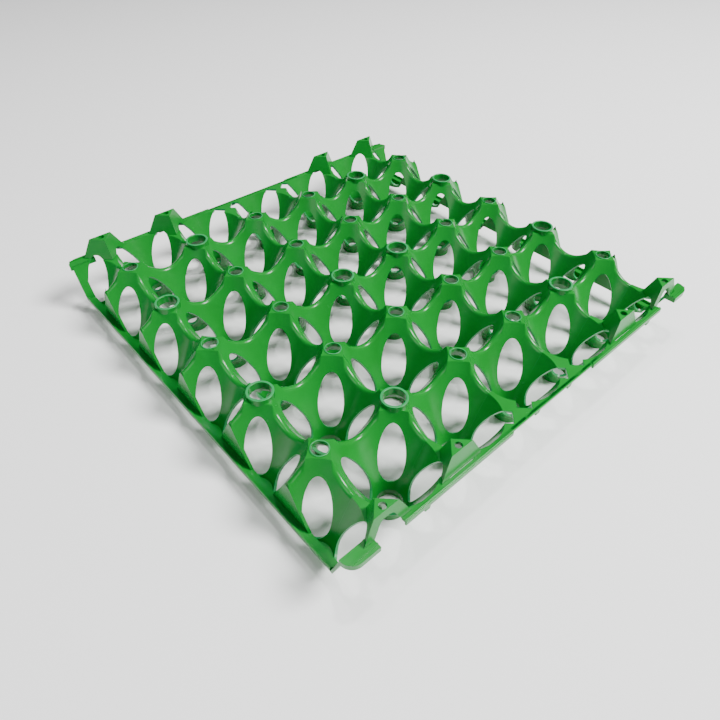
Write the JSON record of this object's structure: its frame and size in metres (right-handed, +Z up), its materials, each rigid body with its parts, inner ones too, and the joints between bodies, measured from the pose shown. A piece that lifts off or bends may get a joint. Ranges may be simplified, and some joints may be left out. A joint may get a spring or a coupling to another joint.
{
  "type": "egg tray",
  "caption": "Thin-walled moulded tray for eggs: rows of open cups between hollow windowed posts, with rails along its sides and rounded corner lugs. It stacks on its own kind.",
  "frame": {"origin": "middle of the footprint on the plane the foot rings stand on", "axes": "+Z up, towards the post tops; +Y along the side that ends in the high rails, from the front rail to the back rail; X across the low rails"},
  "size_m": [0.2968, 0.2992, 0.0485],
  "materials": {
    "tray_plastic": "glossy injection-moulded polypropylene"
  },
  "bodies": {
    "root": {"post_row_1": "tray_plastic", "post_row_2": "tray_plastic", "post_row_3": "tray_plastic", "post_row_4": "tray_plastic", "post_row_5": "tray_plastic", "small_rims": "tray_plastic", "large_collars": "tray_plastic", "cup_feet_row_1": "tray_plastic", "cup_feet_row_2": "tray_plastic", "cup_feet_row_3": "tray_plastic", "cup_feet_row_4": "tray_plastic", "cup_feet_row_5": "tray_plastic", "cup_feet_row_6": "tray_plastic", "front_edge_walls": "tray_plastic", "front_half_posts": "tray_plastic", "front_platforms": "tray_plastic", "front_rail": "tray_plastic", "front_rail_nubs": "tray_plastic", "front_left_lug": "tray_plastic", "front_right_lug": "tray_plastic", "back_edge_walls": "tray_plastic", "back_half_posts": "tray_plastic", "back_platforms": "tray_plastic", "back_rail": "tray_plastic", "back_rail_nubs": "tray_plastic", "back_left_lug": "tray_plastic", "back_right_lug": "tray_plastic", "left_low_rail": "tray_plastic", "left_half_cup_floors": "tray_plastic", "left_gusset_panels": "tray_plastic", "right_low_rail": "tray_plastic", "right_half_cup_floors": "tray_plastic", "right_gusset_panels": "tray_plastic"}
  },
  "joints": []
}
